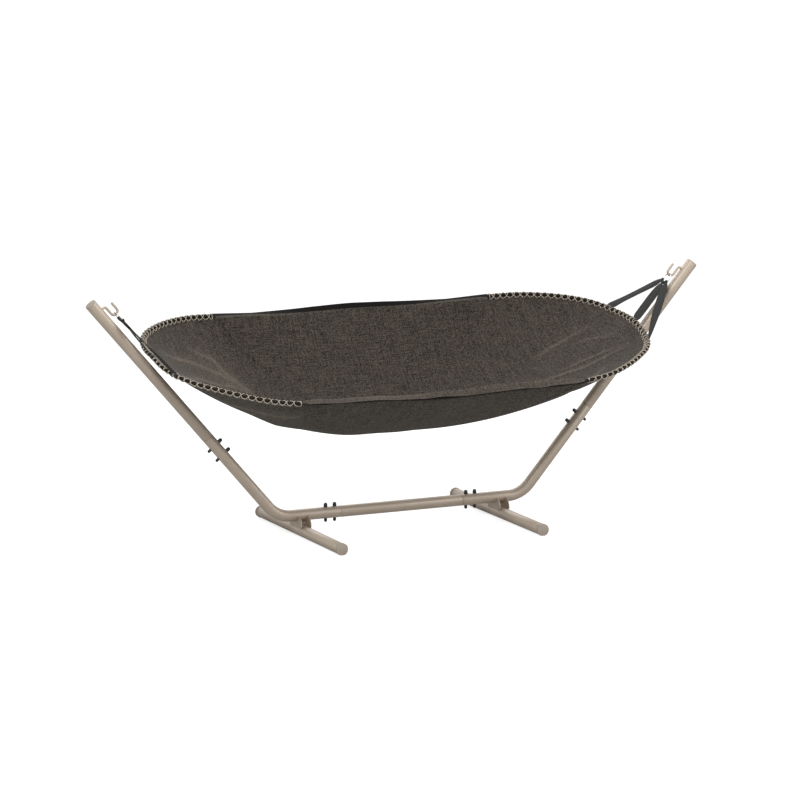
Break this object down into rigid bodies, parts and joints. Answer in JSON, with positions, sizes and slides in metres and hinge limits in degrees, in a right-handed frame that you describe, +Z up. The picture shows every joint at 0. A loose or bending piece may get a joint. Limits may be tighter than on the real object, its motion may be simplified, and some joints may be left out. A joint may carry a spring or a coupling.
{
  "type": "hammock with stand",
  "caption": "Wide boat-shaped cloth bed laced to curved end rods, hung by straps and rings from a bent tube stand on two cross feet.",
  "frame": {"origin": "on the floor, under the middle of the whole hammock's bounding box", "axes": "+Z up, +X along the bed and the spine tube, -Y towards the lower, near side of the bed"},
  "size_m": [2.9306, 1.075, 1.1034],
  "materials": {
    "taupe_coat": "satin",
    "taupe_plastic": "matte",
    "black_plastic": "satin",
    "black_steel": "satin",
    "bright_steel": "polished",
    "melange_cloth": "matte",
    "black_webbing": "matte",
    "grey_webbing": "matte",
    "dark_rod": "satin",
    "beige_cord": "matte"
  },
  "bodies": {
    "stand": {"spine_tube": "taupe_coat", "left_upper_arm": "taupe_coat", "left_arm_cap": "taupe_plastic", "left_hook": "taupe_coat", "left_arm_bolt_1": "black_steel", "left_arm_head_cover_1": "black_plastic", "left_arm_cap_nut_1": "black_plastic", "left_arm_bolt_2": "black_steel", "left_arm_head_cover_2": "black_plastic", "left_arm_cap_nut_2": "black_plastic", "left_spine_bolt_1": "black_steel", "left_spine_head_cover_1": "black_plastic", "left_spine_cap_nut_1": "black_plastic", "left_spine_bolt_2": "black_steel", "left_spine_head_cover_2": "black_plastic", "left_spine_cap_nut_2": "black_plastic", "left_bend_tube": "taupe_coat", "left_foot_tube": "taupe_coat", "left_front_foot_cap": "taupe_plastic", "left_rear_foot_cap": "taupe_plastic", "left_foot_bracket": "taupe_coat", "right_upper_arm": "taupe_coat", "right_arm_cap": "taupe_plastic", "right_hook": "taupe_coat", "right_arm_bolt_1": "black_steel", "right_arm_head_cover_1": "black_plastic", "right_arm_cap_nut_1": "black_plastic", "right_arm_bolt_2": "black_steel", "right_arm_head_cover_2": "black_plastic", "right_arm_cap_nut_2": "black_plastic", "right_spine_bolt_1": "black_steel", "right_spine_head_cover_1": "black_plastic", "right_spine_cap_nut_1": "black_plastic", "right_spine_bolt_2": "black_steel", "right_spine_head_cover_2": "black_plastic", "right_spine_cap_nut_2": "black_plastic", "right_bend_tube": "taupe_coat", "right_foot_tube": "taupe_coat", "right_front_foot_cap": "taupe_plastic", "right_rear_foot_cap": "taupe_plastic", "right_foot_bracket": "taupe_coat"},
    "bed": {"left_ring": "bright_steel", "left_front_strap": "grey_webbing", "left_centre_strap": "grey_webbing", "left_rear_strap": "grey_webbing", "right_ring": "bright_steel", "right_front_strap": "grey_webbing", "right_centre_strap": "grey_webbing", "right_rear_strap": "grey_webbing", "left_end_bow": "dark_rod", "left_end_hem": "melange_cloth", "left_lacing_cord": "beige_cord", "right_end_bow": "dark_rod", "right_end_hem": "melange_cloth", "right_lacing_cord": "beige_cord", "front_side_band": "black_webbing", "rear_side_band": "black_webbing", "hammock_cloth": "melange_cloth"}
  },
  "joints": [
    {"name": "bed_swing", "type": "hinge", "parent": "stand", "child": "bed", "pos_m": [0, 0.01883, 1.03728], "axis": [1, 0, 0], "range_deg": [-30, 10]}
  ]
}
